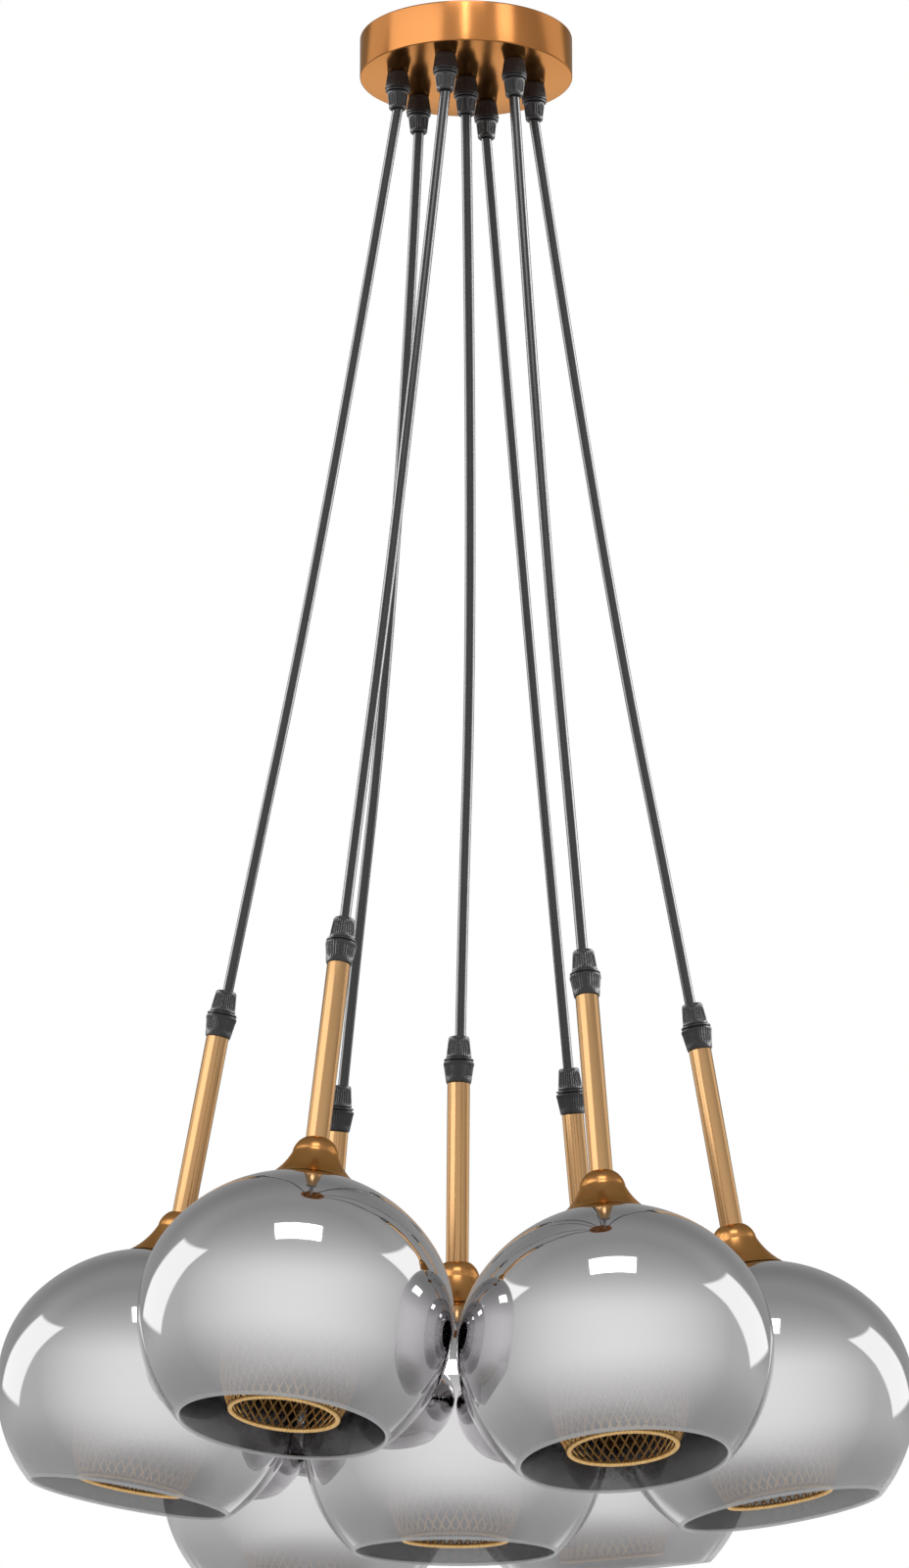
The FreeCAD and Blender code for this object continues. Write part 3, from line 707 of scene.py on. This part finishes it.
def face_tops(mesh):
    """The greatest own height among the corners of each face."""
    own = np.zeros(len(mesh.vertices) * 3)
    mesh.attributes["own_place"].data.foreach_get("vector", own)
    corners = np.zeros(len(mesh.loops), int)
    mesh.loops.foreach_get("vertex_index", corners)
    starts = np.zeros(len(mesh.polygons), int)
    mesh.polygons.foreach_get("loop_start", starts)
    return np.maximum.reduceat(own[2::3][corners], starts)


globe_shape, within_outline = globe_outline()
globe_grid = closed(turned(globe_shape, GLOBE_COLUMNS))
marks = {"within": np.repeat(within_outline, GLOBE_COLUMNS)}
coat, lip_glass = smoked_glass(), clear_glass()
for number in places:
    globe = hang(number, "globe", [globe_grid], coat, "glass_globe", "smoked_glass", marks=marks, sharp=60)
    globe.data.materials.append(lip_glass)
    globe.data.polygons.foreach_set("material_index", (face_tops(globe.data) < CLEAR_LIP).astype(int))


# Lamp holders. Moulded black shells that carry the screw socket, with the ring that clamps the glass
# and the basket's collar against the cap.
holder_plastic = moulded("holder_plastic", (0.022, 0.022, 0.022), (0.036, 0.035, 0.034), 0.38)
for number in places:
    dress(f"lamp_holder_{number}", holder_plastic)


# Mesh baskets. Diamond lattice of thin gilded brass strips round the lamp, narrowing to a rope-like
# rolled ring that shows in the globe's mouth, and hung from a flat collar under the clamping ring.
BASKET_RING, BASKET_BELLY, BASKET_TOP, COLLAR_TOP = 8.0, 50.0, 135.9, 137.5
RING_RADIUS, BELLY_RADIUS, NECK_RADIUS = 30.6, 39.5, 25.0
COLLAR_INNER, COLLAR_INNER_TOP, COLLAR_OUTER = 20.1, 20.8, 25.7
WIND = math.tan(math.radians(27))


def basket_radius(height):
    """Radius at a height: a cube from ring to belly, a gentler power curve from belly to collar."""
    lower = np.clip((BASKET_BELLY - height) / (BASKET_BELLY - BASKET_RING), 0, 1)
    upper = np.clip((height - BASKET_BELLY) / (BASKET_TOP - BASKET_BELLY), 0, 1)
    ring_depth, neck_depth = BELLY_RADIUS - RING_RADIUS, BELLY_RADIUS - NECK_RADIUS
    return BELLY_RADIUS - ring_depth * lower**3 - neck_depth * upper**2.2


def strips(hand, count=40, bends=34, width=0.95, thick=0.45):
    """Flat strips wound up the basket at 27 degrees from its slope, each a four-sided tube along its path.

    hand is 1 or -1: which way they wind, and whether they lie outside or inside the other layer.
    """
    height = np.linspace(BASKET_RING, BASKET_TOP, bends)
    radius = basket_radius(height)
    slope = np.gradient(radius, height)
    run = np.hypot(np.diff(height), np.diff(radius))
    turn_per_run = (1 / radius[1:] + 1 / radius[:-1]) / 2
    climbed = np.concatenate([[0], np.cumsum(run * turn_per_run)])
    angle = hand * WIND * climbed[None, :] + np.linspace(0, 2 * np.pi, count, endpoint=False)[:, None]
    outward = np.stack([np.cos(angle), np.sin(angle), np.zeros_like(angle)], -1)
    around = np.stack([-np.sin(angle), np.cos(angle), np.zeros_like(angle)], -1)
    up = np.array([0.0, 0.0, 1.0])
    lean = slope[None, :, None]
    normal = (outward - up * lean) / np.sqrt(1 + lean**2)
    climb = (up + outward * lean) / np.sqrt(1 + lean**2)
    way = climb + around * hand * WIND
    way /= np.linalg.norm(way, axis=-1, keepdims=True)
    side = np.cross(way, normal)
    middle = outward * radius[None, :, None] + up * height[None, :, None] + normal * hand * thick * 0.5
    corners = [
        middle + side * across * width / 2 + normal * out * thick / 2
        for across, out in ((1, 1), (-1, 1), (-1, -1), (1, -1))
    ]
    last = 4 * bends - 1
    ends = np.array([[0, 1, 2, 3], [last, last - 1, last - 2, last - 3]])
    faces = np.concatenate([grid_faces(bends, 4, rows_close=False), ends])
    firsts = np.arange(count)[:, None, None] * 4 * bends
    return np.stack(corners, 2), (faces[None] + firsts).reshape(-1, 4)


def rope_ring(wire=1.5, strands=96, columns=768, rows=14):
    """A ring of wire whose round section is pinched in slanting grooves, as where strips are rolled in."""
    along = np.linspace(0, 2 * np.pi, columns, endpoint=False)[:, None]
    about = np.linspace(0, 2 * np.pi, rows, endpoint=False)[None, :]
    thick = wire * (0.92 + 0.10 * np.cos(strands * along + 1.5 * np.sin(about)))
    reach = RING_RADIUS + thick * np.cos(about)
    return np.stack([reach * np.cos(along), reach * np.sin(along), BASKET_RING + thick * np.sin(about)], -1)


def gilded_brass():
    """Bright gold-coloured plating, a little uneven in tone and shine."""
    gilt = finish("gilded_brass")
    cloud = gilt.noise(gilt.own_place(), 0.5, 3)
    return gilt.surface(
        {
            "Base Color": gilt.blend(cloud.step(0.3, 0.7), (0.86, 0.50, 0.17), (1.0, 0.66, 0.27)),
            "Metallic": 0.6,
            "Roughness": 0.24 + 0.12 * cloud,
        }
    )


collar_outline = soften(
    [
        (COLLAR_INNER, BASKET_TOP),
        (COLLAR_OUTER, BASKET_TOP),
        (COLLAR_OUTER, COLLAR_TOP),
        (COLLAR_INNER_TOP, COLLAR_TOP),
    ],
    0.2,
    steps=2,
)
collar = closed(turned(collar_outline, columns=96))
basket_grids = [strips(1), strips(-1), closed(rope_ring()), collar]
gilt = gilded_brass()
for number in places:
    hang(number, "basket", basket_grids, gilt, "mesh_basket", "basket_brass")


bpy.context.scene.view_settings.view_transform = "Standard"
